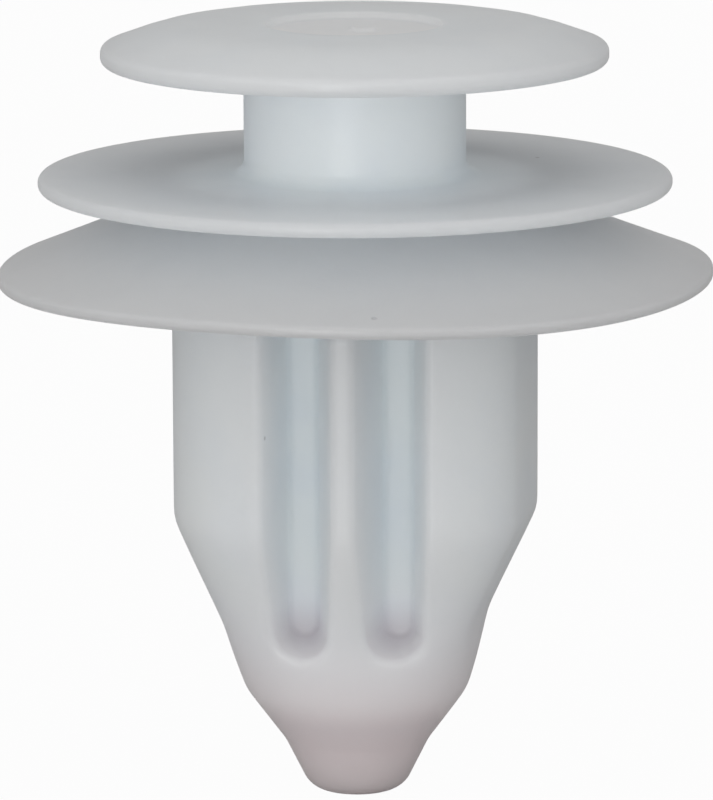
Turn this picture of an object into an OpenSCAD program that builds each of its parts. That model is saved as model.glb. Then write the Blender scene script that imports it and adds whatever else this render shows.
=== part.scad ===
// Push-in trim clip, moulded in one piece from natural nylon.
// It stands on its axis, head up. The origin is the middle of the panel seat: the skirt's rim lies at z = 0,
// the nose points down through the panel's hole, and the neck above holds the trim's keyhole.

/* [Head] */
// Diameter of the mushroom head
head_d = 14.15; // [11.5:0.05:18]
// Thickness of the head at its rim
head_rim_t = 0.48; // [0.3:0.02:0.7]
// Height of the head from its underside to its flat top
head_h = 1.1; // [0.9:0.02:1.8]
// Diameter of the flat top
head_flat_d = 10.7; // [6:0.1:11.2]
// Radius of the bend between the flat top and the sloping edge
head_bend = 6; // [3:0.5:9]
// Diameter of the round recess where the plastic entered the mould
recess_d = 4.9; // [3:0.1:5.5]
// Depth of that recess
recess_depth = 0.2; // [0.1:0.05:0.4]
// Diameter of the gate stub left in the recess
gate_d = 0.7; // [0.4:0.1:1.2]
// Height of the gate stub above the recess's floor
gate_h = 0.1; // [0.05:0.01:0.1]
// Distance of the gate stub from the axis
gate_offset = 0.25; // [0:0.05:0.8]

/* [Neck] */
// Diameter of the neck between the head and the flange
neck_d = 6.2; // [5.8:0.1:8]
// Free length of the neck, which takes the trim's keyhole wall
neck_h = 3.1; // [2:0.02:5]
// Fillet where the neck grows out of the flange
neck_foot_round = 0.7; // [0.2:0.1:1.2]
// Fillet under the head
neck_top_round = 0.3; // [0.1:0.05:0.6]

/* [Flange] */
// Diameter of the flange under the trim
flange_d = 17.7; // [14:0.1:20]
// Thickness of the flange
flange_t = 0.4; // [0.3:0.02:1]
// Height of the flange's underside above the panel
flange_lift = 2.6; // [2.2:0.02:3.5]

/* [Skirt] */
// Diameter of the sprung skirt that seals on the panel
skirt_d = 20; // [16:0.5:24]
// Thickness of the skirt at its rim
skirt_rim_t = 0.35; // [0.25:0.05:0.6]
// Slope of the skirt's upper side
skirt_slope = 22; // [16:1:23]
// Slope of the skirt's lower side, which thickens the skirt towards its root
skirt_under_slope = 18; // [12:1:20]

/* [Panel groove] */
// Diameter of the hole in the panel
hole_d = 10; // [9:0.1:11]
// Clearance of the groove all round inside the panel's hole
hole_clearance = 0.25; // [0.1:0.05:0.5]
// Distance from the skirt's rim down to the ramp that snaps behind the panel
groove_depth = 0.35; // [0.2:0.05:1.5]
// Height of that ramp
ramp_h = 0.5; // [0.3:0.05:1]

/* [Shank] */
// Diameter across the two round sides of the shank, which snap through the hole
shank_d = 10.4; // [10:0.1:12]
// Width across the two flat sides of the shank
shank_flat_w = 9.82; // [8:0.02:9.9]
// Distance from the skirt's rim to the shoulder where the shank starts to taper
shoulder_depth = 6.65; // [4:0.05:10]

/* [Nose] */
// Diameter at the end of the long taper
taper_d = 6.35; // [5:0.05:8]
// Length of the long taper
taper_len = 5; // [3:0.05:8]
// Diameter of the tip where the short taper meets it
tip_d = 4.1; // [2.7:0.05:4.8]
// Length of the short taper
short_taper_len = 1.5; // [0.8:0.05:2.5]
// Diameter at the rounded end of the tip
tip_end_d = 2.6; // [1.6:0.1:3.8]
// Length of the tip
tip_len = 1.5; // [1.2:0.05:3]
// Radius of the rounded end
tip_round = 0.75; // [0.4:0.05:0.8]
// Radius of the bends between the tapers
taper_bend = 1.6; // [0.4:0.1:3]

/* [Side flats] */
// Turn of the flat sides about the axis, away from square to the flutes
flat_turn = 7.7; // [0:0.1:15]
// Depth below the shoulder of the knee where the flat sides turn steeper
knee_drop = 3; // [1.5:0.1:4]
// Width across the flat sides at the knee
knee_w = 7; // [6.6:0.1:8]
// Width across the flat sides where they run out on the nose
runout_w = 6.45; // [5:0.05:6.5]
// Depth below the knee of that run-out
runout_drop = 2.4; // [1.5:0.1:4]

/* [Flutes] */
// Width of each flute's floor
flute_floor_w = 0.86; // [0.5:0.02:1]
// Draft of the flutes' walls, which widen outwards
flute_draft = 9.3; // [1:0.1:11]
// Distance between the middles of the two flutes on one side
flute_pitch = 2.66; // [2.4:0.02:3.2]
// Thickness of the web left between the front and the back flutes
web_t = 3.8; // [1.2:0.1:5]
// Depth below the shoulder of the round ends of the flutes' floors
flute_drop = 3.2; // [1.5:0.1:4]
// Height of the flutes' upper ends above the skirt's rim, hidden under the skirt
flute_rise = 0.3; // [0:0.05:0.4]

/* [Hidden] */
nylon = [0.80, 0.81, 0.83];
$fn = 96;
// Steps along each rounded corner of the half-section.
corner_steps = 6;
// Share of the shorter neighbouring edge that a rounding may use.
corner_share = 0.48;
// Overlap by which a cutting solid passes the face that it cuts.
overcut = 0.5;
// Share of a rim's thickness used by its rounding, just under a full half-round.
rim_share = 0.45;

groove_d = hole_d - 2 * hole_clearance;
flange_top = flange_lift + flange_t;
head_under = flange_top + neck_h;
head_top = head_under + head_h;
recess_floor = head_top - recess_depth;
skirt_rim_round = rim_share * skirt_rim_t;
flange_round = rim_share * flange_t;
head_round = rim_share * head_rim_t;
groove_top = (skirt_d - groove_d) / 2 * tan(skirt_under_slope);
waist_d = skirt_d - 2 * (flange_lift - skirt_rim_t) / tan(skirt_slope);
shoulder_z = -shoulder_depth;
taper_z = shoulder_z - taper_len;
short_taper_z = taper_z - short_taper_len;
tip_z = short_taper_z - tip_len;
knee_z = shoulder_z - knee_drop;
runout_z = knee_z - runout_drop;
flute_end_z = shoulder_z - flute_drop;

// Half-section of the turned form, as [radius, height, rounding], from the head's middle down to the tip.
SECTION = [
    [0, head_top, 0],
    [head_flat_d / 2, head_top, head_bend],
    [head_d / 2, head_under + head_rim_t, head_round],
    [head_d / 2, head_under, head_round],
    [neck_d / 2, head_under, neck_top_round],
    [neck_d / 2, flange_top, neck_foot_round],
    [flange_d / 2, flange_top, flange_round],
    [flange_d / 2, flange_lift, flange_round],
    [waist_d / 2, flange_lift, 0],
    [skirt_d / 2, skirt_rim_t, skirt_rim_round],
    [skirt_d / 2, 0, skirt_rim_round],
    [groove_d / 2, groove_top, 0],
    [groove_d / 2, -groove_depth, 0],
    [shank_d / 2, -groove_depth - ramp_h, 0],
    [shank_d / 2, shoulder_z, taper_bend],
    [taper_d / 2, taper_z, taper_bend],
    [tip_d / 2, short_taper_z, taper_bend],
    [tip_end_d / 2, tip_z, tip_round],
    [0, tip_z, 0]
];

function unit(v) = v / norm(v);

// Points along the arc that rounds the corner b between its neighbours a and c.
function corner(a, b, c, radius) =
    let (
        u = unit(a - b),
        v = unit(c - b),
        half = acos(max(-1, min(1, u * v))) / 2,
        reach = min(radius / tan(half), corner_share * min(norm(a - b), norm(c - b))),
        r = reach * tan(half),
        middle = b + unit(u + v) * r / sin(half),
        from = b + u * reach - middle,
        to = b + v * reach - middle,
        sweep = 180 - 2 * half
    )
    [for (i = [0 : corner_steps])
        let (w = i / corner_steps)
        middle + (sin((1 - w) * sweep) * from + sin(w * sweep) * to) / sin(sweep)];

// Outline with every corner of a list of [x, y, rounding] rounded.
function rounded(list) =
    let (n = len(list))
    [for (i = [0 : n - 1])
        let (
            a = list[(i + n - 1) % n],
            b = list[i],
            c = list[(i + 1) % n],
            points = b[2] == 0 ? [[b[0], b[1]]] : corner([a[0], a[1]], [b[0], b[1]], [c[0], c[1]], b[2])
        )
        each points];

// Head, neck, flange, skirt, shank and nose as one turned solid.
module turned_form() {
    rotate_extrude() polygon(rounded(SECTION));
}

// Round recess in the head's top, less the gate stub that stands in it.
module gate_recess() {
    difference() {
        translate([0, 0, recess_floor]) cylinder(d = recess_d, h = recess_depth + overcut);
        translate([gate_offset, 0, recess_floor - overcut]) cylinder(d = gate_d, h = overcut + gate_h);
    }
}

// Material outside a flat side at +X: upright down to the shoulder, then sloping in to its run-out.
module side_cut() {
    outside = shank_d / 2 + overcut;
    side = [
        [outside, 0],
        [shank_flat_w / 2, 0],
        [shank_flat_w / 2, shoulder_z],
        [knee_w / 2, knee_z],
        [runout_w / 2, runout_z],
        [outside, runout_z]
    ];
    rotate([90, 0, 0]) linear_extrude(height = 2 * outside, center = true) polygon(side);
}

// One flute at x = middle in the front, cut in as far as the web. It widens outwards and ends in a half cone.
module flute(middle) {
    depth = shank_d / 2 + overcut - web_t / 2;
    floor_r = flute_floor_w / 2;
    mouth_r = floor_r + depth * tan(flute_draft);
    end_middle = flute_end_z + floor_r;
    blade = [[-floor_r, 0], [-mouth_r, -depth], [mouth_r, -depth], [floor_r, 0]];
    translate([middle, -web_t / 2, end_middle]) {
        rotate([90, 0, 0]) cylinder(r1 = floor_r, r2 = mouth_r, h = depth);
        linear_extrude(height = flute_rise - end_middle) polygon(blade);
    }
}

// The whole clip: the back repeats the front, turned half round.
module trim_clip() {
    color(nylon) difference() {
        turned_form();
        gate_recess();
        for (turn = [0, 180]) rotate([0, 0, turn]) {
            rotate([0, 0, -flat_turn]) side_cut();
            for (side = [-1, 1]) flute(side * flute_pitch / 2);
        }
    }
}

trim_clip();
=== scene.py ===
"""Push-in trim clip of natural nylon: its moulded skin, finish, light and camera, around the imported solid.

The skin is one closed surface in the solid's own frame, worked out with numpy. Sizes are in millimetres and
become metres only when a mesh is made. The clip's axis is Z: the head is up, the skirt's rim lies at z = 0,
the flutes open to -Y and +Y, and the shank's flat sides face nearly +X and -X. Angles round the axis start at
the front, -Y, and grow towards +X.
"""

import logging
import math
from dataclasses import dataclass, field
from enum import Enum
from typing import Any, NamedTuple, Sequence, Union

import bmesh
import bpy
import numpy as np
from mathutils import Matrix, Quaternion, Vector


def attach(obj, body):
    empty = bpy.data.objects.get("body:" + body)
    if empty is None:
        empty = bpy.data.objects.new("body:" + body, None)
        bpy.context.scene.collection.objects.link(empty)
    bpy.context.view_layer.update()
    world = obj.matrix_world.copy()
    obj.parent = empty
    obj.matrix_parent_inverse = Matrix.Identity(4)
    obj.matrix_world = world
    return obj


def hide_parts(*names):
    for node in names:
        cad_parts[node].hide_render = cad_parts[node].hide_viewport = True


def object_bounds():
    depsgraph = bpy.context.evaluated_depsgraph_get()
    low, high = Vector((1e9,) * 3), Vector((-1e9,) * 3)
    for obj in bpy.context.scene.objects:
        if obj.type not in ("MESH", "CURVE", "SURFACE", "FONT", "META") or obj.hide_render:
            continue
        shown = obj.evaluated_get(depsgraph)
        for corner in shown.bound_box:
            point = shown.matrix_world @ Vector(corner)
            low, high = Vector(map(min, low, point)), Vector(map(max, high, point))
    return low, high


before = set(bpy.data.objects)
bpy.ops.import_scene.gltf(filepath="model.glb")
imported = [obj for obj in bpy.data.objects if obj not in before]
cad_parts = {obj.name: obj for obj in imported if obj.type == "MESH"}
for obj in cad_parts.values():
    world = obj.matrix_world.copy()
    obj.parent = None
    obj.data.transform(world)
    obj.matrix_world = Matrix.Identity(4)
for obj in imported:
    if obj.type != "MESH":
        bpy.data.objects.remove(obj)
CAD_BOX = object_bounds()

LOG = logging.getLogger("trim_clip")
MM = 0.001
NODE = "trim_clip"
BODY = "root"
# Share of the room's shown white that reflections have.
REFLECTED_WHITE = 0.2
# Share of a thin rim's thickness that its rounding takes, just under a full half round.
RIM_SHARE = 0.45
# Share of the shorter neighbouring run that a corner's rounding may take.
CORNER_SHARE = 0.48
# Fewest steps along the arc of a rounded corner.
LEAST_ARC_STEPS = 3
# Distances in metres below which points are welded and slivers are taken away.
WELD_M = 1e-7
SLIVER_M = 1e-8

Colour = tuple[float, float, float]
Input = Union["Value", float, Colour]
Inputs = dict[Union[int, str], Input]
Settings = dict[str, Any]

WHITE: Colour = (1.0, 1.0, 1.0)


class Side(Enum):
    """The two sides of the shank that carry flutes, by the half turns about Z that bring the front there."""

    FRONT = 0
    BACK = 1


class Corner(NamedTuple):
    """One corner of the half-section: radius, height, rounding and the longest step on the run up to it."""

    r: float
    z: float
    rounding: float
    step: float


class Value:
    """A shader value. Python's operators on it add Math nodes to its material."""

    def __init__(self, net: "NodeNet", socket: bpy.types.NodeSocket) -> None:
        """Wraps one output socket of a node net."""
        self.net = net
        self.socket = socket

    def _math(self, operation: str, a: Input, b: Input) -> "Value":
        """Adds one Math node.

        Args:
            operation: Name of the Math node's operation.
            a: First operand.
            b: Second operand.

        Returns:
            The node's result.
        """
        return self.net.add("ShaderNodeMath", {"operation": operation}, {0: a, 1: b})

    def __add__(self, other: Input) -> "Value":
        """Sum of this value and another."""
        return self._math("ADD", self, other)

    def __radd__(self, other: Input) -> "Value":
        """Sum of a number and this value."""
        return self._math("ADD", other, self)

    def __sub__(self, other: Input) -> "Value":
        """This value less another."""
        return self._math("SUBTRACT", self, other)

    def __rsub__(self, other: Input) -> "Value":
        """A number less this value."""
        return self._math("SUBTRACT", other, self)

    def __mul__(self, other: Input) -> "Value":
        """Product of this value and another."""
        return self._math("MULTIPLY", self, other)

    def __rmul__(self, other: Input) -> "Value":
        """Product of a number and this value."""
        return self._math("MULTIPLY", other, self)


class NodeNet:
    """A node tree, of a material or of the world."""

    def __init__(self, tree: bpy.types.NodeTree) -> None:
        """Takes a tree over and empties it."""
        self.tree = tree
        self.tree.nodes.clear()

    def node(self, kind: str, settings: Settings, inputs: Inputs) -> bpy.types.Node:
        """Adds any node.

        Args:
            kind: The node's type name.
            settings: Attributes of the node, which are set first.
            inputs: Values or links for its input sockets, by name or number.

        Returns:
            The node.
        """
        made = self.tree.nodes.new(kind)
        for key, setting in settings.items():
            setattr(made, key, setting)
        for key, given in inputs.items():
            socket = made.inputs[key]
            if isinstance(given, Value):
                self.tree.links.new(given.socket, socket)
            elif socket.type == "RGBA":
                socket.default_value = (*given, 1.0)
            else:
                socket.default_value = given
        return made

    def add(self, kind: str, settings: Settings, inputs: Inputs, output: Union[int, str] = 0) -> Value:
        """Adds any node and gives one of its outputs.

        Args:
            kind: The node's type name.
            settings: Attributes of the node, which are set first.
            inputs: Values or links for its input sockets, by name or number.
            output: Name or number of the wanted output.

        Returns:
            That output.
        """
        return Value(self, self.node(kind, settings, inputs).outputs[output])

    def mix(self, factor: Input, a: Input, b: Input) -> Value:
        """Mixes two colours. A Mix node takes colours at its inputs 6 and 7 and gives one at its output 2.

        Args:
            factor: Share of the second colour.
            a: First colour.
            b: Second colour.

        Returns:
            The mixed colour.
        """
        return self.add("ShaderNodeMix", {"data_type": "RGBA"}, {0: factor, 6: a, 7: b}, 2)

    def spread(self, value: Value, low: float, high: float) -> Value:
        """Spreads a value softly, so that it is 0 at low and 1 at high.

        Args:
            value: What is spread.
            low: Where the result is 0.
            high: Where the result is 1.

        Returns:
            A value from 0 to 1.
        """
        settings = {"interpolation_type": "SMOOTHSTEP"}
        return self.add("ShaderNodeMapRange", settings, {"Value": value, "From Min": low, "From Max": high})

    def noise(self, place: Value, size_mm: float, detail: float) -> Value:
        """Soft noise from 0 to 1.

        Args:
            place: Coordinates in metres.
            size_mm: Size of the largest spots.
            detail: Number of finer octaves.

        Returns:
            The noise.
        """
        inputs = {"Vector": place, "Scale": 1.0 / (size_mm * MM), "Detail": detail}
        return self.add("ShaderNodeTexNoise", {}, inputs, "Fac")

    def seen(self) -> Value:
        """How white a ray sees the room: fully from the camera or through clear things, less in reflections.

        Returns:
            A value from 0 to 1.
        """
        path = self.node("ShaderNodeLightPath", {}, {})
        camera, glossy, through = (Value(self, path.outputs[f"Is {ray} Ray"])
                                   for ray in ("Camera", "Glossy", "Transmission"))
        parts = {0: camera + REFLECTED_WHITE * glossy, 1: through}
        return self.add("ShaderNodeMath", {"operation": "ADD", "use_clamp": True}, parts)


def new_material(name: str) -> tuple[bpy.types.Material, NodeNet]:
    """Makes a material with an empty net.

    Args:
        name: The material's name.

    Returns:
        The material and its net.
    """
    material = bpy.data.materials.new(name)
    material.use_nodes = True
    return material, NodeNet(material.node_tree)


@dataclass(frozen=True)
class NylonFinish:
    """Natural nylon: cool milky grey, faintly see-through, satin, with soft clouding and a few specks.

    It is whiter round the gate, has painted warm reflected light down the nose and painted shade in the lower
    ends of the flutes. At the height z, the taper that the flutes are cut into has the radius taper_r_mm +
    taper_fall z.
    """

    pale: Colour = (0.872, 0.914, 0.946)
    dull: Colour = (0.842, 0.886, 0.92)
    blush: Colour = (0.955, 0.968, 0.978)
    # Painted warm reflected light down the nose.
    painted_warm_light: Colour = (0.885, 0.725, 0.71)
    # Painted shade in the lower ends of the flutes.
    painted_flute_shade: Colour = (0.62, 0.575, 0.595)
    speck: Colour = (0.36, 0.36, 0.37)
    blush_r_mm: float = 2.4
    blush_soft: float = 0.1
    blush_from_mm: float = 6.6
    blush_rise_mm: float = 0.2
    # Where the painted warm reflected light starts and ends down the nose, and its share.
    warm_light_top_mm: float = -7.5
    warm_light_end_mm: float = -15.0
    warm_light_share: float = 0.85
    # Painted shade in the flutes' lower ends: where it starts and ends, its share and the depth over which it
    # grows.
    flute_shade_top_mm: float = -8.6
    flute_shade_end_mm: float = -9.8
    flute_shade_share: float = 0.42
    flute_shade_depth_mm: float = 0.3
    taper_r_mm: float = 7.893
    taper_fall: float = 0.405
    flute_reach_mm: float = 2.3
    flute_reach_soft: float = 1.2
    cloud_mm: float = 3.2
    cloud_detail: float = 3.0
    cloud_low: float = 0.35
    cloud_high: float = 0.7
    roughness_low: float = 0.34
    roughness_high: float = 0.46
    grain_mm: float = 0.16
    grain_detail: float = 2.0
    grain_height_mm: float = 0.004
    waviness_mm: float = 1.3
    waviness_detail: float = 1.0
    waviness_height_mm: float = 0.018
    speck_pitch_mm: float = 3.1
    speck_size: float = 0.034
    speck_core: float = 0.4
    speck_share: float = 0.6
    see_through: float = 1.0
    see_through_depth_mm: float = 4.0
    see_through_by_colour: Colour = (1.0, 1.0, 1.0)
    ior: float = 1.53
    mirror_level: float = 0.36

    def material(self) -> bpy.types.Material:
        """Makes the finish.

        Clouding mixes the pale and the dull grey. Painted warm reflected light tints the colour down the
        nose. The blush lies inside its radius on the head. Painted shade lies in the lower ends of the
        flutes, where a point is nearer to the axis than the taper's own surface, but not on the flat sides.
        Specks are the middles of a few Voronoi cells.
        Bump is fine mould grain plus a long, low waviness.

        Returns:
            The material.
        """
        material, net = new_material("natural_nylon")
        place = net.add("ShaderNodeTexCoord", {}, {}, "Object")
        across = net.add("ShaderNodeSeparateXYZ", {}, {0: place}, "X")
        height = net.add("ShaderNodeSeparateXYZ", {}, {0: place}, "Z")
        without_height = {0: place, 1: (1.0, 1.0, 0.0)}
        from_axis = net.add("ShaderNodeVectorMath", {"operation": "MULTIPLY"}, without_height, "Vector")
        radius = net.add("ShaderNodeVectorMath", {"operation": "LENGTH"}, {0: from_axis}, "Value")
        clouds = net.noise(place, self.cloud_mm, self.cloud_detail)
        grain = net.noise(place, self.grain_mm, self.grain_detail)
        waves = net.noise(place, self.waviness_mm, self.waviness_detail)

        colour = net.mix(net.spread(clouds, self.cloud_low, self.cloud_high), self.pale, self.dull)
        # Painted warm reflected light, growing down the nose.
        warm_light_mask = self.warm_light_share * net.spread(height, self.warm_light_top_mm * MM, self.warm_light_end_mm * MM)
        colour = net.mix(warm_light_mask, colour, self.painted_warm_light)
        blush_r = self.blush_r_mm * MM
        near_gate = net.spread(radius, (1 + self.blush_soft) * blush_r, (1 - self.blush_soft) * blush_r)
        blush_from = self.blush_from_mm * MM
        on_head = net.spread(height, blush_from - self.blush_rise_mm * MM, blush_from)
        colour = net.mix(near_gate * on_head, colour, self.blush)
        # Painted shade in the lower ends of the flutes, deeper than the taper's surface and off the flat
        # sides.
        depth = self.taper_r_mm * MM + self.taper_fall * height - radius
        reach_squared = (self.flute_reach_mm * MM) ** 2
        off_flats = net.spread(across * across, self.flute_reach_soft * reach_squared, reach_squared)
        in_flute = net.spread(depth, 0.0, self.flute_shade_depth_mm * MM) * off_flats
        at_end = net.spread(height, self.flute_shade_top_mm * MM, self.flute_shade_end_mm * MM)
        colour = net.mix(self.flute_shade_share * in_flute * at_end, colour, self.painted_flute_shade)
        cells = {"Vector": place, "Scale": 1.0 / (self.speck_pitch_mm * MM)}
        distance = net.add("ShaderNodeTexVoronoi", {}, cells, "Distance")
        outside = net.spread(distance, self.speck_core * self.speck_size, self.speck_size)
        colour = net.mix(self.speck_share - self.speck_share * outside, colour, self.speck)

        roughness = self.roughness_low + (self.roughness_high - self.roughness_low) * clouds
        relief = grain * (self.grain_height_mm * MM) + waves * (self.waviness_height_mm * MM)
        normal = net.add("ShaderNodeBump", {}, {"Strength": 1.0, "Distance": 1.0, "Height": relief})
        shader = net.add("ShaderNodeBsdfPrincipled", {"subsurface_method": "RANDOM_WALK"}, {
            "Base Color": colour,
            "Roughness": roughness,
            "Normal": normal,
            "IOR": self.ior,
            "Specular IOR Level": self.mirror_level,
            "Subsurface Weight": self.see_through,
            "Subsurface Radius": self.see_through_by_colour,
            "Subsurface Scale": self.see_through_depth_mm * MM,
        })
        net.node("ShaderNodeOutputMaterial", {}, {"Surface": shader})
        return material


@dataclass(frozen=True)
class PaperFinish:
    """White paper of the floor.

    It lights the clip as matt paper does and shows nearly white, with a pale shadow.
    """

    white: Colour = (0.46, 0.45, 0.45)
    shown_white: float = 0.97

    def material(self) -> bpy.types.Material:
        """Makes the finish.

        Returns:
            The material.
        """
        material, net = new_material("white_paper")
        paper = net.add("ShaderNodeBsdfDiffuse", {}, {"Color": self.white})
        glow = net.add("ShaderNodeEmission", {}, {"Color": WHITE, "Strength": 1.0})
        shader = net.add("ShaderNodeMixShader", {}, {0: self.shown_white * net.seen(), 1: paper, 2: glow})
        net.node("ShaderNodeOutputMaterial", {}, {"Surface": shader})
        return material


def rounded_path(corners: Sequence[Corner], arc_step: float = math.radians(9.0)) -> np.ndarray:
    """Half-section with straight runs between corners rounded by arcs.

    An arc of radius q in a corner of half-angle h starts q / tan h from the corner, or at half the shorter
    neighbouring run if that is less.

    Args:
        corners: Corners from the top of the axis to its bottom.
        arc_step: Largest turn between two points of an arc.

    Returns:
        Radius and height of each point, as an (n, 2) array.
    """
    points = [np.array([[corners[0].r, corners[0].z]])]
    for index, corner in enumerate(corners[1:], 1):
        spot = np.array([corner.r, corner.z])
        arc = spot[None, :]
        if corner.rounding > 0:
            before, after = corners[index - 1], corners[index + 1]
            runs = np.array([[before.r, before.z], [after.r, after.z]]) - spot
            lengths = np.linalg.norm(runs, axis=1)
            ways = runs / lengths[:, None]
            half = math.acos(float(np.clip(ways[0] @ ways[1], -1, 1))) / 2
            reach = min(corner.rounding / math.tan(half), CORNER_SHARE * lengths.min())
            middle = spot + (ways[0] + ways[1]) * reach / (2 * math.cos(half) ** 2)
            sweep = math.pi - 2 * half
            steps = max(LEAST_ARC_STEPS, math.ceil(sweep / arc_step))
            share = np.linspace(0, 1, steps + 1)[:, None]
            start, end = spot + ways * reach - middle
            swing = np.sin((1 - share) * sweep) * start + np.sin(share * sweep) * end
            arc = middle + swing / math.sin(sweep)
        last = points[-1][-1]
        count = max(1, math.ceil(float(np.linalg.norm(arc[0] - last)) / corner.step))
        run = last + (arc[0] - last) * np.linspace(0, 1, count + 1)[1:-1, None]
        points += [run, arc]
    return np.concatenate(points)


def soft_min(a: np.ndarray, b: np.ndarray, softness: Union[float, np.ndarray]) -> np.ndarray:
    """The smaller of two fields, with a rounded edge between them: half of (a + b) less their soft distance.

    Args:
        a: First field.
        b: Second field.
        softness: Width of the rounding.

    Returns:
        The blended field.
    """
    return 0.5 * (a + b - np.sqrt((a - b) ** 2 + softness ** 2))


def smooth_step(value: np.ndarray) -> np.ndarray:
    """Soft step 3t^2 - 2t^3 of a value held between 0 and 1."""
    held = np.clip(value, 0, 1)
    return held * held * (3 - 2 * held)


def ring_quads(numbers: np.ndarray) -> np.ndarray:
    """Quads between rings: (i, j), (i + 1, j), (i + 1, j + 1) and (i, j + 1), closed round each ring.

    Args:
        numbers: Point numbers by ring and by place on it.

    Returns:
        Point numbers as a (rings - 1, places, 4) array.
    """
    onward = np.roll(numbers, -1, axis=1)
    return np.stack([numbers[:-1], numbers[1:], onward[1:], onward[:-1]], 2)


def put_in_scene(name: str, data: bpy.types.ID) -> bpy.types.Object:
    """Makes an object at the origin.

    Args:
        name: The object's name.
        data: Its mesh, lamp or camera.

    Returns:
        The object.
    """
    thing = bpy.data.objects.new(name, data)
    bpy.context.scene.collection.objects.link(thing)
    return thing


@dataclass
class Head:
    """Mushroom head with the round recess of the gate in its top."""

    d: float = 14.15
    rim_t: float = 0.48
    h: float = 1.1
    flat_d: float = 10.7
    bend: float = 6.0
    recess_d: float = 4.9
    recess_depth: float = 0.2
    recess_draft: float = 0.06
    recess_round: float = 0.09
    gate_d: float = 0.7
    gate_h: float = 0.1
    gate_offset: float = 0.25
    gate_soft: float = 0.06
    gate_zone: float = 0.75

    def corners(self, under: float) -> list[Corner]:
        """Half-section from the middle of the recess to the underside of the rim.

        Args:
            under: Height of the head's underside.

        Returns:
            The corners.
        """
        top = under + self.h
        floor = top - self.recess_depth
        rim_round = RIM_SHARE * self.rim_t
        return [
            Corner(0, floor, 0, 1),
            Corner(self.gate_zone, floor, 0, 0.05),
            Corner(self.recess_d / 2 - self.recess_draft, floor, self.recess_round, 0.25),
            Corner(self.recess_d / 2, top, self.recess_round, 0.1),
            Corner(self.flat_d / 2, top, self.bend, 0.3),
            Corner(self.d / 2, under + self.rim_t, rim_round, 0.25),
            Corner(self.d / 2, under, rim_round, 0.2),
        ]

    def gate_stub(self, x: np.ndarray, y: np.ndarray) -> np.ndarray:
        """Rise of the gate stub above the recess's floor: a disc of soft edge.

        Args:
            x: Places across.
            y: Places along.

        Returns:
            The rise at each place.
        """
        inside = self.gate_d / 2 - np.hypot(x - self.gate_offset, y)
        return self.gate_h * smooth_step(0.5 + inside / (2 * self.gate_soft))


@dataclass
class Neck:
    """Round neck between the flange and the head."""

    d: float = 6.2
    h: float = 3.1
    foot_round: float = 0.45
    top_round: float = 0.3

    def corners(self, foot: float) -> list[Corner]:
        """Half-section from under the head to the flange.

        Args:
            foot: Height of the flange's top.

        Returns:
            The corners.
        """
        return [
            Corner(self.d / 2, foot + self.h, self.top_round, 0.4),
            Corner(self.d / 2, foot, self.foot_round, 0.4),
        ]


@dataclass
class Flange:
    """Flat flange under the trim."""

    d: float = 17.7
    t: float = 0.4
    lift: float = 2.6

    def corners(self) -> list[Corner]:
        """Half-section round the flange's rim.

        Returns:
            The corners.
        """
        rim_round = RIM_SHARE * self.t
        return [
            Corner(self.d / 2, self.lift + self.t, rim_round, 0.5),
            Corner(self.d / 2, self.lift, rim_round, 0.2),
        ]


@dataclass
class Skirt:
    """Thin sprung skirt that seals on the panel. Its rim waves a little, as thin mouldings do."""

    d: float = 20.0
    rim_t: float = 0.35
    slope: float = math.radians(22)
    under_slope: float = math.radians(18)
    root_round: float = 0.15
    wave: float = 0.09
    waves: int = 3
    wave_start: float = math.radians(12)

    def waist(self, lift: float) -> float:
        """Radius at which the skirt's upper side meets the flange's underside, at height lift."""
        return self.d / 2 - (lift - self.rim_t) / math.tan(self.slope)

    def corners(self, lift: float, groove_r: float) -> list[Corner]:
        """Half-section from the flange's underside over the rim to the top of the panel groove.

        Args:
            lift: Height of the flange's underside.
            groove_r: Radius of the panel groove.

        Returns:
            The corners.
        """
        rim_round = RIM_SHARE * self.rim_t
        groove_top = (self.d / 2 - groove_r) * math.tan(self.under_slope)
        return [
            Corner(self.waist(lift), lift, self.root_round, 0.5),
            Corner(self.d / 2, self.rim_t, rim_round, 0.4),
            Corner(self.d / 2, 0, rim_round, 0.2),
            Corner(groove_r, groove_top, self.root_round, 0.4),
        ]

    def wave_rise(self, angle: np.ndarray, r: np.ndarray, root: float) -> np.ndarray:
        """Rise of the waving skirt: -wave sin(waves a), growing as the square of the way out from the root.

        Args:
            angle: Angles round the axis.
            r: Distances from the axis.
            root: Radius at which the wave dies out.

        Returns:
            The rise at each place.
        """
        out = np.clip((r - root) / (self.d / 2 - root), 0, 1)
        return -self.wave * np.sin(self.waves * (angle - self.wave_start)) * out ** 2


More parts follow.
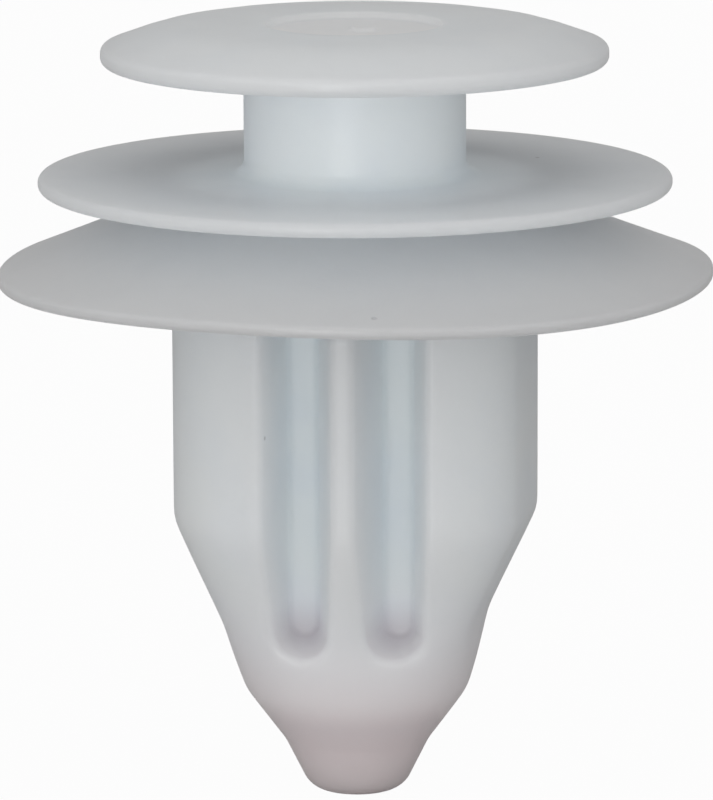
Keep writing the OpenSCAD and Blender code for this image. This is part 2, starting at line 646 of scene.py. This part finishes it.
@dataclass
class Shank:
    """Shank with its panel groove, two flat sides and bullet nose."""

    groove_r: float = 4.75
    groove_depth: float = 0.35
    ramp_h: float = 0.5
    d: float = 10.4
    flat_w: float = 9.82
    flat_turn: float = math.radians(7.7)
    shoulder: float = -6.65
    taper_d: float = 6.35
    taper_len: float = 5.0
    tip_d: float = 4.1
    short_taper_len: float = 1.5
    tip_end_d: float = 2.6
    tip_len: float = 1.5
    tip_round: float = 0.75
    taper_bend: float = 1.6
    knee_drop: float = 3.0
    knee_w: float = 7.0
    runout_w: float = 6.45
    runout_drop: float = 2.4
    edge_soft: float = 0.07
    nose_edge_soft: float = 0.18
    groove_round: float = 0.1
    ramp_round: float = 0.15
    nose_step: float = 0.14
    least_sine: float = 0.05

    def corners(self) -> list[Corner]:
        """Half-section from the bottom of the panel groove to the tip.

        Returns:
            The corners.
        """
        ramp_end = -self.groove_depth - self.ramp_h
        taper = self.shoulder - self.taper_len
        short_taper = taper - self.short_taper_len
        tip = short_taper - self.tip_len
        return [
            Corner(self.groove_r, -self.groove_depth, self.groove_round, 0.3),
            Corner(self.d / 2, ramp_end, self.ramp_round, 0.15),
            Corner(self.d / 2, self.shoulder, self.taper_bend, self.nose_step),
            Corner(self.taper_d / 2, taper, self.taper_bend, self.nose_step),
            Corner(self.tip_d / 2, short_taper, self.taper_bend, self.nose_step),
            Corner(self.tip_end_d / 2, tip, self.tip_round, self.nose_step),
            Corner(0, tip, 0, 0.15),
        ]

    def half_width(self, z: np.ndarray) -> np.ndarray:
        """Half the width across the flat sides: upright, then the shallower of two slopes past the knee.

        Args:
            z: Heights.

        Returns:
            The half width at each height.
        """
        knee = self.shoulder - self.knee_drop
        steep = self.knee_w / 2 + (z - knee) * (self.flat_w - self.knee_w) / 2 / self.knee_drop
        shallow = self.knee_w / 2 + (z - knee) * (self.knee_w - self.runout_w) / 2 / self.runout_drop
        sloping = -soft_min(-steep, -shallow, self.edge_soft)
        return soft_min(np.full_like(z, self.flat_w / 2), sloping, self.edge_soft)

    def flatten(self, r: np.ndarray, angle: np.ndarray, z: np.ndarray) -> np.ndarray:
        """Distance from the axis with the flat sides.

        It is the smaller of r and the half width over |sin(angle + turn)|. The edges of the flat sides get
        softer below the shoulder.

        Args:
            r: Radii of the turned form.
            angle: Angles round the axis.
            z: Heights.

        Returns:
            The distances.
        """
        across = np.maximum(np.abs(np.sin(angle + self.flat_turn)), self.least_sine)
        below = smooth_step((self.shoulder - z) / self.knee_drop)
        softness = self.edge_soft + (self.nose_edge_soft - self.edge_soft) * below
        return soft_min(r, self.half_width(z) / across, softness)


@dataclass
class Flutes:
    """Pair of blind flutes, cut into the front and the back of the shank down to the web.

    Their walls widen outwards by the draft, and each lower end is a half cone. The margins lie between a
    flute's rounded edge and the window that is cut for it in the turned grid.
    """

    floor_w: float = 0.86
    draft: float = math.radians(9.3)
    pitch: float = 2.66
    web_t: float = 3.8
    end: float = -9.85
    top: float = 0.3
    edge_round: float = 0.25
    floor_round: float = 0.2
    margin: float = 0.2
    top_margin: float = 0.3
    approach: tuple[float, ...] = (0.35, 0.7, 1.0)
    round_steps: int = 5
    wall_steps: int = 6
    floor_shares: tuple[float, ...] = (0.4, 0.75, 1.0)
    mouth_tries: int = 6
    middles: tuple[float, ...] = field(init=False)

    def __post_init__(self) -> None:
        """Works out the middles of the two flutes."""
        self.middles = (-self.pitch / 2, self.pitch / 2)

    def half_at(self, y: np.ndarray) -> np.ndarray:
        """Half the flute's width at depths y: half the floor's width plus the draft's share of the depth."""
        return self.floor_w / 2 + (np.abs(y) - self.web_t / 2) * math.tan(self.draft)

    def bounds(self, r: float) -> tuple[float, float, float]:
        """Angles of the upright lines that part the two flutes from the wings and from each other.

        Args:
            r: Radius of the shank at the flutes' lower ends.

        Returns:
            The left, middle and right angles.
        """
        out = self.pitch / 2 + float(self.half_at(np.array(r))) + self.edge_round + self.margin
        return -math.asin(out / r), 0.0, math.asin(out / r)

    def outline(self, middle: float, loop: np.ndarray, half: np.ndarray,
                top: float) -> tuple[np.ndarray, np.ndarray]:
        """Carries a loop round a flute onto an outline of the flute.

        The upright sides keep their heights, scaled to end at the top. Below the middle of the round end,
        points go to the arc in the direction that they have from that middle. The loop's top goes to the
        straight top.

        Args:
            middle: The flute's middle.
            loop: Points of the loop, in order, as an (n, 3) array.
            half: Half the outline's width, for each point of the loop.
            top: Height of the outline's top.

        Returns:
            Places across and heights on the outline.
        """
        x, z = loop[:, 0], loop[:, 2]
        centre = self.end + self.floor_w / 2
        loop_top = z.max()
        turn = np.arctan2(z - centre, x - middle)
        upper = z > centre
        on_top = np.isclose(z, loop_top)
        left, right = x[on_top].min(), x[on_top].max()
        across = middle + half * (2 * (x - left) / (right - left) - 1)
        side = middle + half * np.sign(x - middle)
        out_x = np.where(on_top, across, np.where(upper, side, middle + half * np.cos(turn)))
        raised = centre + (z - centre) * (top - centre) / (loop_top - centre)
        out_z = np.where(upper, raised, centre + half * np.sin(turn))
        return out_x, out_z

    def rings(self, middle: float, loop: np.ndarray, radius: "RadiusAt") -> np.ndarray:
        """Rings of a flute, from a loop on the shank, over the rounded edge and down the wall to the floor.

        The wall's edge and its foot are quarter circles, and the last ring is the floor's middle line. The
        mouth's width depends on how far out the shank's surface lies there, so it is found in a few tries.

        Args:
            middle: The flute's middle.
            loop: Points of the loop, in order, as an (n, 3) array.
            radius: Radius of the turned form by height.

        Returns:
            The rings below the loop, as an (m, n, 3) array.
        """
        floor = np.full(len(loop), -self.web_t / 2)

        def on_shank(x: np.ndarray, z: np.ndarray) -> np.ndarray:
            """Points of the shank's front at places x and heights z."""
            return np.stack([x, -np.sqrt(radius(z) ** 2 - x ** 2), z], 1)

        def at(half: np.ndarray, y: np.ndarray, top: float) -> np.ndarray:
            """Points of an outline of the given half width and top at depths y."""
            x, z = self.outline(middle, loop, half, top)
            return np.stack([x, y, z], 1)

        mouth = self.half_at(loop[:, 1])
        for _ in range(self.mouth_tries):
            mouth = self.half_at(on_shank(*self.outline(middle, loop, mouth, self.top))[:, 1])
        edge = on_shank(*self.outline(middle, loop, mouth + self.edge_round, self.top + self.edge_round))
        start = loop[:, ::2]
        rings = [on_shank(*(start + (edge[:, ::2] - start) * share).T) for share in self.approach]
        turns = np.linspace(0, math.pi / 2, self.round_steps + 1)[1:]
        for turn in turns:
            out = self.edge_round * (1 - math.sin(turn))
            rings.append(at(mouth + out, edge[:, 1] + self.edge_round * (1 - math.cos(turn)), self.top + out))
        wall_top = edge[:, 1] + self.edge_round
        wall_end = floor - self.floor_round
        for share in np.linspace(0, 1, self.wall_steps + 1)[1:]:
            depth = wall_top + (wall_end - wall_top) * share
            rings.append(at(self.half_at(depth), depth, self.top))
        foot = self.half_at(wall_end)
        for turn in turns:
            inset = self.floor_round * (1 - math.cos(turn))
            rings.append(at(foot - inset, floor - self.floor_round * (1 - math.sin(turn)), self.top - inset))
        for share in self.floor_shares:
            half = (foot - self.floor_round) * (1 - share)
            rings.append(at(half, floor, self.top - self.floor_round - half.max() * share))
        return np.array(rings)


class RadiusAt:
    """Radius of the turned form below the skirt, by height."""

    def __init__(self, section: np.ndarray) -> None:
        """Takes the half-section from the panel groove down, as (radius, height) rows."""
        self.r = section[::-1, 0]
        self.z = section[::-1, 1]

    def __call__(self, z: np.ndarray) -> np.ndarray:
        """Radii at heights z."""
        return np.interp(z, self.z, self.r)


@dataclass
class TrimClip:
    """The whole clip, moulded in one piece.

    Each half of the grid has six zones of columns: half a flat side, a round side, the two flutes, a round
    side and half a flat side.
    """

    head: Head = field(default_factory=Head)
    neck: Neck = field(default_factory=Neck)
    flange: Flange = field(default_factory=Flange)
    skirt: Skirt = field(default_factory=Skirt)
    shank: Shank = field(default_factory=Shank)
    flutes: Flutes = field(default_factory=Flutes)
    finish: NylonFinish = field(default_factory=NylonFinish)
    columns_by_zone: tuple[int, ...] = (32, 8, 19, 19, 8, 32)
    flat_zone: float = math.radians(50)

    def half_section(self) -> np.ndarray:
        """Half-section of the turned form, from the head's middle to the tip.

        Returns:
            Radius and height of each point, as an (n, 2) array.
        """
        foot = self.flange.lift + self.flange.t
        return rounded_path([
            *self.head.corners(foot + self.neck.h),
            *self.neck.corners(foot),
            *self.flange.corners(),
            *self.skirt.corners(self.flange.lift, self.shank.groove_r),
            *self.shank.corners(),
        ])

    def columns(self, end_r: float) -> tuple[np.ndarray, np.ndarray]:
        """Angles of the columns round the axis, dense where the flat sides end and bound to the flutes.

        Args:
            end_r: Radius of the shank at the flutes' lower ends.

        Returns:
            All angles, and the numbers of the three front columns that bound the flutes.
        """
        zones = [-math.pi / 2, -self.flat_zone, *self.flutes.bounds(end_r), self.flat_zone, math.pi / 2]
        steps = zip(zones, zones[1:], self.columns_by_zone)
        half = np.concatenate([np.linspace(a, b, n, endpoint=False) for a, b, n in steps])
        starts = np.concatenate([[0], np.cumsum(self.columns_by_zone)])
        return np.concatenate([half, half + math.pi]), starts[2:5]

    def surface(self, section: np.ndarray, angles: np.ndarray, first_shank_row: int) -> np.ndarray:
        """Turned form with flat sides, waving skirt and gate stub, as a function of row and angle.

        A point is (q sin a, -q cos a, z + rise), where q is the section's radius r, or on the shank the
        flattened radius.

        Args:
            section: Half-section as (radius, height) rows.
            angles: Angle of each column.
            first_shank_row: Row at which the panel groove starts.

        Returns:
            Points as a (rows, columns, 3) array.
        """
        r, a = np.meshgrid(section[:, 0], angles, indexing="ij")
        z = np.broadcast_to(section[:, 1:], r.shape).copy()
        low = slice(first_shank_row, None)
        q = r.copy()
        q[low] = np.where(r[low] > 0, self.shank.flatten(r[low], a[low], z[low]), 0)
        x, y = q * np.sin(a), -q * np.cos(a)
        root = self.skirt.waist(self.flange.lift)
        of_skirt = (z < self.flange.lift - self.skirt.root_round) & (r > root)
        of_skirt[low] = False
        z += np.where(of_skirt, self.skirt.wave_rise(a, r, root), 0)
        in_recess = (r < self.head.gate_zone) & (z > self.flange.lift)
        z += np.where(in_recess, self.head.gate_stub(x, y), 0)
        return np.stack([x, y, z], 2)

    def skin(self) -> tuple[np.ndarray, np.ndarray]:
        """Works out the whole skin: the turned grid, less a window round each flute, plus each flute's rings.

        Returns:
            Points as an (n, 3) array in millimetres, and quads as an (m, 4) array of point numbers.
        """
        section = self.half_section()
        skirt_rim_row = int(np.argmax(section[:, 0]))
        first_shank_row = skirt_rim_row + int(
            np.argmin(np.abs(section[skirt_rim_row:, 0] - self.shank.groove_r)))
        radius = RadiusAt(section[first_shank_row:])
        window_top = self.flutes.top + self.flutes.top_margin
        window_end = self.flutes.end - self.flutes.floor_w - self.flutes.margin
        end_r = float(radius(np.array(window_end)))
        angles, bounds = self.columns(end_r)
        points = self.surface(section, angles, first_shank_row)
        rows, columns = points.shape[:2]
        below = np.arange(first_shank_row, rows)
        top_row = int(below[np.argmin(np.abs(section[below, 1] - window_top))])
        end_row = int(below[np.argmin(np.abs(section[below, 1] - window_end))])

        numbers = np.arange(rows * columns).reshape(rows, columns)
        kept = np.ones((rows - 1, columns), bool)
        all_points = [points.reshape(-1, 3)]
        all_quads = []
        count = rows * columns
        for side in Side:
            shift = side.value * columns // 2
            turn = np.array([1 - 2 * side.value, 1 - 2 * side.value, 1])
            kept[top_row:end_row, bounds[0] + shift:bounds[2] + shift] = False
            for middle, first, last in zip(self.flutes.middles, bounds, bounds[1:]):
                loop = self.window_loop(numbers, top_row, end_row, first + shift, last + shift)
                rings = self.flutes.rings(middle, all_points[0][loop] * turn, radius) * turn
                ring_numbers = count + np.arange(rings[..., 0].size).reshape(rings.shape[:2])
                all_points.append(rings.reshape(-1, 3))
                all_quads.append(ring_quads(np.vstack([loop, ring_numbers])).reshape(-1, 4))
                count += ring_numbers.size
        quads = np.concatenate([ring_quads(numbers)[kept], *all_quads])
        used, compact = np.unique(quads, return_inverse=True)
        return np.concatenate(all_points)[used], compact.reshape(quads.shape)

    @staticmethod
    def window_loop(numbers: np.ndarray, top: int, end: int, first: int, last: int) -> np.ndarray:
        """Point numbers round a window of the grid: down its left side, along its foot, up and back.

        Args:
            numbers: Point numbers by row and column.
            top: Its top row.
            end: Its bottom row.
            first: Its left column.
            last: Its right column.

        Returns:
            The loop's point numbers, in order.
        """
        return np.concatenate([
            numbers[top:end, first],
            numbers[end, first:last],
            numbers[end:top:-1, last],
            numbers[top, last:first:-1],
        ])

    def build(self) -> bpy.types.Object:
        """Makes the clip's mesh, with poles and flute floors welded and faces outwards.

        Returns:
            The clip's object, at the origin.
        """
        points, quads = self.skin()
        mesh = bpy.data.meshes.new("moulded_clip")
        mesh.from_pydata(points * MM, [], quads.tolist())
        shell = bmesh.new()
        shell.from_mesh(mesh)
        bmesh.ops.remove_doubles(shell, verts=shell.verts, dist=WELD_M)
        bmesh.ops.dissolve_degenerate(shell, edges=shell.edges, dist=SLIVER_M)
        bmesh.ops.recalc_face_normals(shell, faces=shell.faces)
        shell.to_mesh(mesh)
        shell.free()
        mesh.polygons.foreach_set("use_smooth", np.ones(len(mesh.polygons), bool))
        return put_in_scene("moulded_clip", mesh)

    def dress(self, clip: bpy.types.Object) -> None:
        """Gives the clip its finish and its place in the frame.

        Args:
            clip: The clip's object.
        """
        clip.data.materials.append(self.finish.material())
        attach(clip, BODY)
        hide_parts(NODE)


@dataclass
class Floor:
    """Round sheet of white paper just under the tip."""

    top: float
    d: float = 3000.0
    gap: float = 0.02
    inner_share: float = 0.02
    rings: int = 12
    columns: int = 96
    finish: PaperFinish = field(default_factory=PaperFinish)

    def build(self) -> bpy.types.Object:
        """Makes the sheet: the point at share s and angle a is (s r cos a, s r sin a), s growing as a square.

        Returns:
            The floor's object.
        """
        share = np.linspace(self.inner_share, 1, self.rings) ** 2
        angle = np.linspace(0, 2 * math.pi, self.columns, endpoint=False)
        s, a = np.meshgrid(share * self.d / 2, angle, indexing="ij")
        points = np.stack([s * np.cos(a), s * np.sin(a), np.full_like(s, self.top - self.gap)], 2)
        numbers = np.arange(s.size).reshape(s.shape)
        quads = ring_quads(numbers).reshape(-1, 4)
        mesh = bpy.data.meshes.new("paper_floor")
        mesh.from_pydata(points.reshape(-1, 3) * MM, [], [numbers[0].tolist(), *quads.tolist()])
        return put_in_scene("paper_floor", mesh)

    def dress(self, floor: bpy.types.Object) -> None:
        """Gives the floor its paper and keeps it out of the part.

        Args:
            floor: The floor's object.
        """
        floor.data.materials.append(self.finish.material())


def face(thing: bpy.types.Object, aim: Vector, azimuth: float, elevation: float, distance: float,
         roll: float = 0.0) -> None:
    """Puts a lamp or a camera at a distance from its aim and turns it to the aim.

    The way to it from the aim is (sin a cos e, -cos a cos e, sin e), for the azimuth a and the elevation e.

    Args:
        thing: The lamp or the camera.
        aim: Point that it faces, in metres.
        azimuth: Degrees round the axis, from the front towards +X.
        elevation: Degrees above the level.
        distance: Distance from the aim, in millimetres.
        roll: Degrees by which it is turned about its own line of sight.
    """
    a, e = math.radians(azimuth), math.radians(elevation)
    back = Vector((math.sin(a) * math.cos(e), -math.cos(a) * math.cos(e), math.sin(e)))
    turn = Quaternion((0.0, 0.0, 1.0), -math.radians(roll))
    thing.location = aim + back * distance * MM
    thing.rotation_mode = "QUATERNION"
    thing.rotation_quaternion = (-back).to_track_quat("-Z", "Y") @ turn


@dataclass(frozen=True)
class Softbox:
    """Square soft lamp. Its level is the lightness that it gives a white matt card that faces it."""

    name: str
    azimuth: float
    elevation: float
    distance: float
    size: float
    level: float
    colour: Colour = WHITE

    def build(self, aim: Vector) -> bpy.types.Object:
        """Hangs the lamp so that it faces the aim.

        A lamp of power p at distance d lights a facing white card to p / (pi d)^2.

        Args:
            aim: Point that it lights.

        Returns:
            The lamp's object.
        """
        data = bpy.data.lights.new(self.name, "AREA")
        data.shape = "SQUARE"
        data.size = self.size * MM
        data.energy = self.level * (math.pi * self.distance * MM) ** 2
        data.color = self.colour
        lamp = put_in_scene(self.name, data)
        face(lamp, aim, self.azimuth, self.elevation, self.distance)
        return lamp


@dataclass(frozen=True)
class Studio:
    """White room round the clip, lighter low in front of it than above and behind, with its lamps."""

    front_level: float = 0.82
    back_level: float = 0.35
    top_fall: float = 0.25
    lamps: tuple[Softbox, ...] = (
        Softbox("front_lamp", azimuth=-7.0, elevation=0.5, distance=500.0, size=70.0, level=0.35),
        Softbox("upper_lamp", azimuth=90.0, elevation=84.0, distance=420.0, size=200.0, level=0.03),
    )

    def build(self, aim: Vector) -> None:
        """Sets the room's white, which shows as plain white behind the clip, and hangs the lamps.

        Args:
            aim: Point that the lamps light.
        """
        world = bpy.data.worlds.new("white_room")
        world.use_nodes = True
        bpy.context.scene.world = world
        net = NodeNet(world.node_tree)
        way = net.add("ShaderNodeTexCoord", {}, {}, "Generated")
        rearward = net.add("ShaderNodeSeparateXYZ", {}, {0: way}, "Y")
        upward = net.add("ShaderNodeSeparateXYZ", {}, {0: way}, "Z")
        forward = net.spread(rearward + self.top_fall * upward, 1.0, -1.0)
        level = self.back_level + (self.front_level - self.back_level) * forward
        strength = level + (1.0 - level) * net.seen()
        room = net.add("ShaderNodeBackground", {}, {"Color": WHITE, "Strength": strength})
        net.node("ShaderNodeOutputWorld", {}, {"Surface": room})
        for lamp in self.lamps:
            lamp.build(aim)


@dataclass(frozen=True)
class PhotoCamera:
    """Long lens at the photograph's angle. The picture is taken to be 713 by 800 pixels."""

    azimuth: float = 4.25
    elevation: float = 11.0
    roll: float = 0.23
    distance: float = 180.0
    aim: tuple[float, float, float] = (0.014, 0.0, -3.465)
    picture_h: int = 800
    pixels_per_mm: float = 35.6
    sensor: float = 36.0
    near: float = 10.0
    far: float = 10000.0

    def build(self) -> bpy.types.Object:
        """Makes the camera and gives it to the scene.

        Returns:
            The camera's object.
        """
        data = bpy.data.cameras.new("photo_camera")
        data.sensor_fit = "VERTICAL"
        data.sensor_width = self.sensor
        data.sensor_height = self.sensor
        data.lens = self.pixels_per_mm * self.distance * self.sensor / self.picture_h
        data.clip_start = self.near * MM
        data.clip_end = self.far * MM
        camera = put_in_scene("photo_camera", data)
        face(camera, Vector(self.aim) * MM, self.azimuth, self.elevation, self.distance, self.roll)
        bpy.context.scene.camera = camera
        return camera


def main() -> None:
    """Builds the clip, its floor, light and camera, and reports each piece."""
    logging.basicConfig(level=logging.INFO, format="%(name)s: %(message)s")
    bpy.context.scene.view_settings.view_transform = "Standard"
    clip = TrimClip()
    piece = clip.build()
    clip.dress(piece)
    triangles = sum(len(polygon.vertices) - 2 for polygon in piece.data.polygons)
    LOG.info("%s: %d triangles, stands for %s", piece.name, triangles, NODE)
    floor = Floor(top=CAD_BOX[0].z / MM)
    sheet = floor.build()
    floor.dress(sheet)
    LOG.info("%s: stage", sheet.name)
    camera = PhotoCamera()
    camera.build()
    Studio().build(Vector(camera.aim) * MM)


if __name__ == "__main__":
    main()
